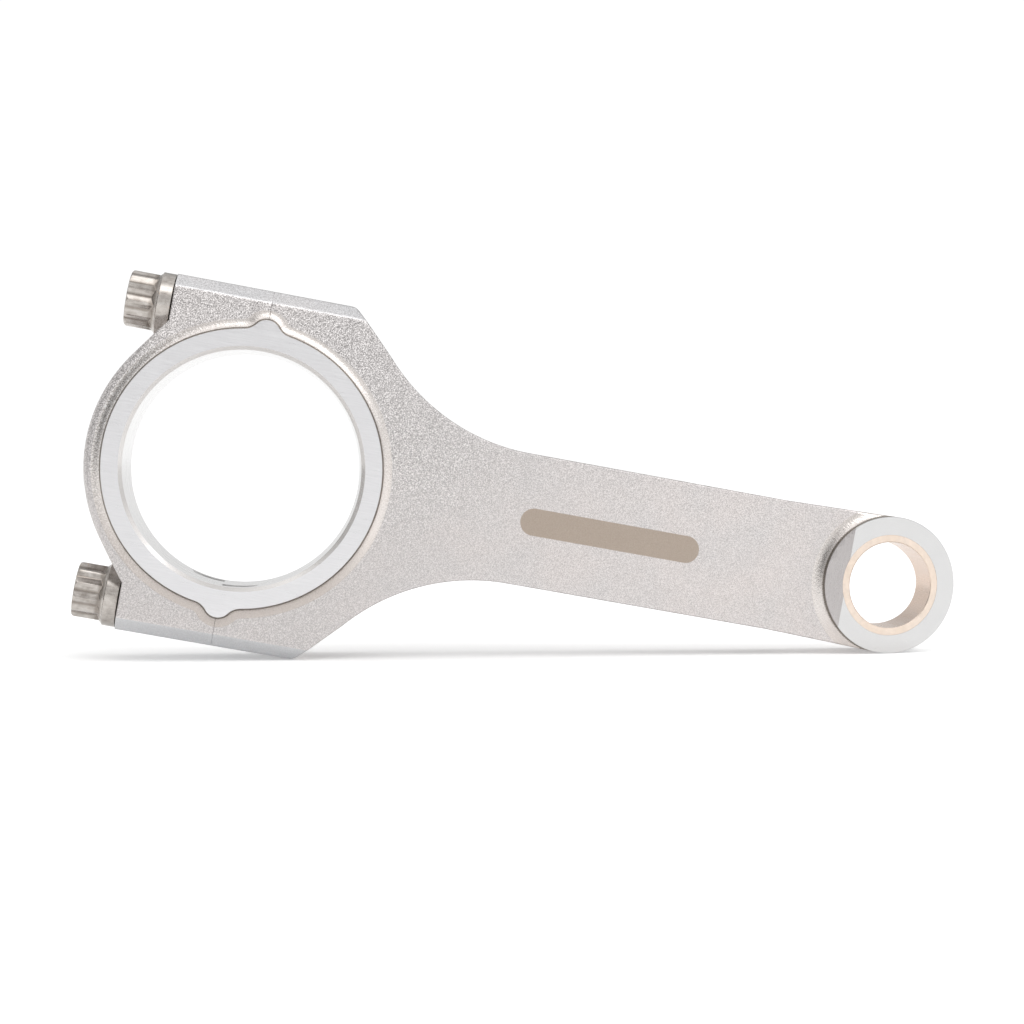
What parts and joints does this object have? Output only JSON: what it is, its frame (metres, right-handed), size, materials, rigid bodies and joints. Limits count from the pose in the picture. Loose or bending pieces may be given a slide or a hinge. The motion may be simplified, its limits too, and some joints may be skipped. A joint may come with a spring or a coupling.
{
  "type": "engine connecting rod",
  "caption": "Forged H-section connecting rod with a bolted big-end cap, flanged cap bolts and a bushed, tapered small end.",
  "frame": {"origin": "centre of the big-end bore, midway between its thrust faces", "axes": "+X along the rod towards the small end, +Y along the crankshaft axis, +Z across the rod towards the upper bolt"},
  "size_m": [0.1927, 0.025, 0.0776],
  "materials": {
    "forging": "shot peened, with ground thrust faces and bores",
    "bush": "fine bored bronze",
    "bolt": "oiled heat-treated steel",
    "sleeve": "ground"
  },
  "bodies": {
    "rod": {"rod_body": "forging", "bush": "bush", "sleeve_top": "sleeve", "sleeve_bottom": "sleeve"},
    "cap": {"cap": "forging"},
    "bolt_top": {"bolt_top": "bolt"},
    "bolt_bottom": {"bolt_bottom": "bolt"}
  },
  "joints": [
    {"name": "cap_off", "type": "slide", "parent": "rod", "child": "cap", "axis": [-1, 0, 0], "range_m": [0, 0.03]},
    {"name": "bolt_top_out", "type": "slide", "parent": "cap", "child": "bolt_top", "axis": [-1, 0, 0], "range_m": [0, 0.042]},
    {"name": "bolt_bottom_out", "type": "slide", "parent": "cap", "child": "bolt_bottom", "axis": [-1, 0, 0], "range_m": [0, 0.042]}
  ]
}
